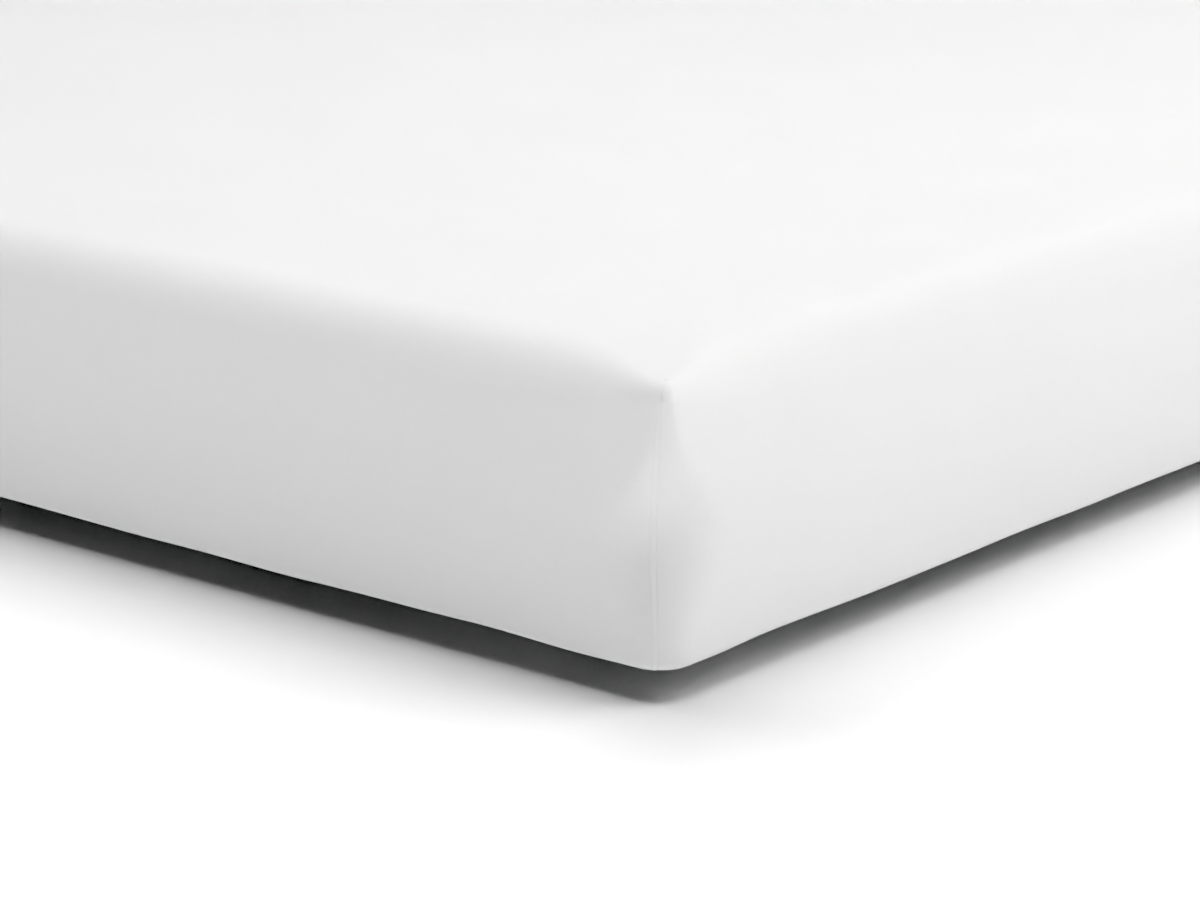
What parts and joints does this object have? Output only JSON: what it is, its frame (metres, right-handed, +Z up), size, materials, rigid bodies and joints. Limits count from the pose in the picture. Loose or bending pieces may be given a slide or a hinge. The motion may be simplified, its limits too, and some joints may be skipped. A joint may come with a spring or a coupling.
{
  "type": "fitted sheet on mattress",
  "caption": "Taut white fitted sheet with sewn corners and turned-under hem, on a plain rectangular mattress.",
  "frame": {"origin": "on the floor, under the middle of the mattress", "axes": "+X across the width, +Y along the length, +Z up"},
  "size_m": [1.8058, 2.0058, 0.2332],
  "materials": {
    "sheet_cloth": "smooth, tightly woven white cotton, matt with a faint sheen",
    "mattress_ticking": "plain off-white knitted ticking, matt"
  },
  "bodies": {
    "root": {"fitted_sheet": "sheet_cloth", "mattress": "mattress_ticking"}
  },
  "joints": []
}
